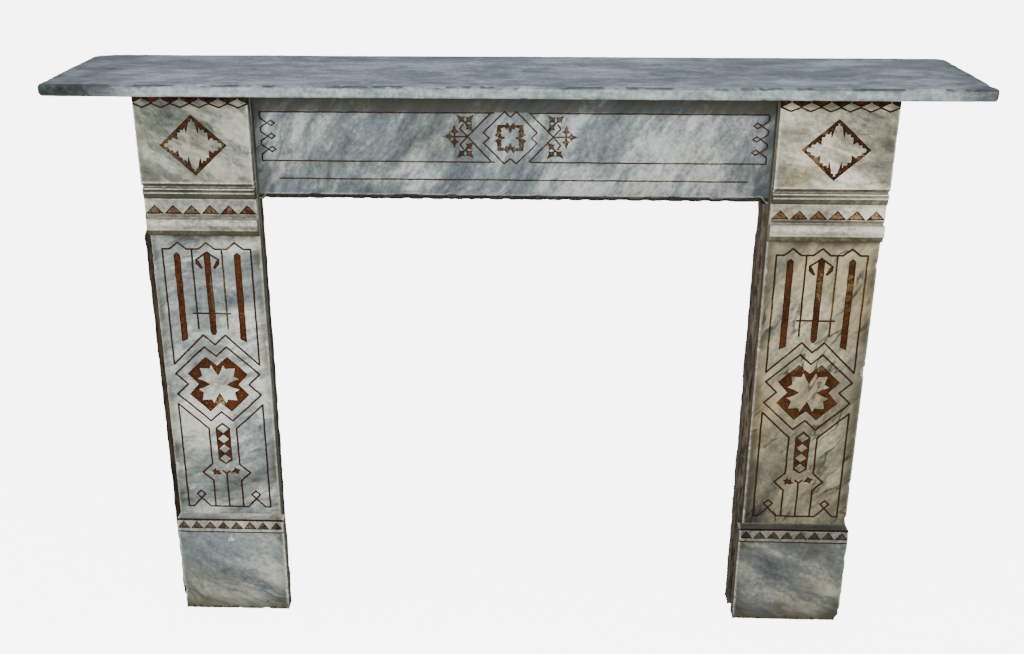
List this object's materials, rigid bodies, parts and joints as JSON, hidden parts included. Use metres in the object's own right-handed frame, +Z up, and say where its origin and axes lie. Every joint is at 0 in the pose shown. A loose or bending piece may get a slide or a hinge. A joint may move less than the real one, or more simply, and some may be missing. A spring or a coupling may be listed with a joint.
{
  "type": "fireplace mantel",
  "caption": "Marble fireplace mantel: a deep plain shelf on a frieze and two slab legs with plinths, mouldings and incised geometric ornament.",
  "frame": {"origin": "on the hearth, under the middle of the shelf's plan", "axes": "+X along the shelf to the viewer's right, -Y out of the front into the room, +Z up"},
  "size_m": [1.666, 0.31, 1.124],
  "materials": {
    "shelf_marble": "worn polish, blue-grey with lengthwise veins",
    "front_marble": "worn polish, grey-white with diagonal blue-grey veins and brown dirt in the sunk ornament",
    "rough_return": "sawn and unpolished, stained dark brown"
  },
  "bodies": {
    "root": {"shelf": "shelf_marble", "frieze": "front_marble", "left_jamb": "front_marble", "left_plinth": "front_marble", "left_necking": "front_marble", "left_tooth_band": "front_marble", "left_reeding": "front_marble", "left_capital": "front_marble", "left_outer_return": "rough_return", "left_inner_return": "rough_return", "right_jamb": "front_marble", "right_plinth": "front_marble", "right_necking": "front_marble", "right_tooth_band": "front_marble", "right_reeding": "front_marble", "right_capital": "front_marble", "right_outer_return": "rough_return", "right_inner_return": "rough_return"}
  },
  "joints": []
}
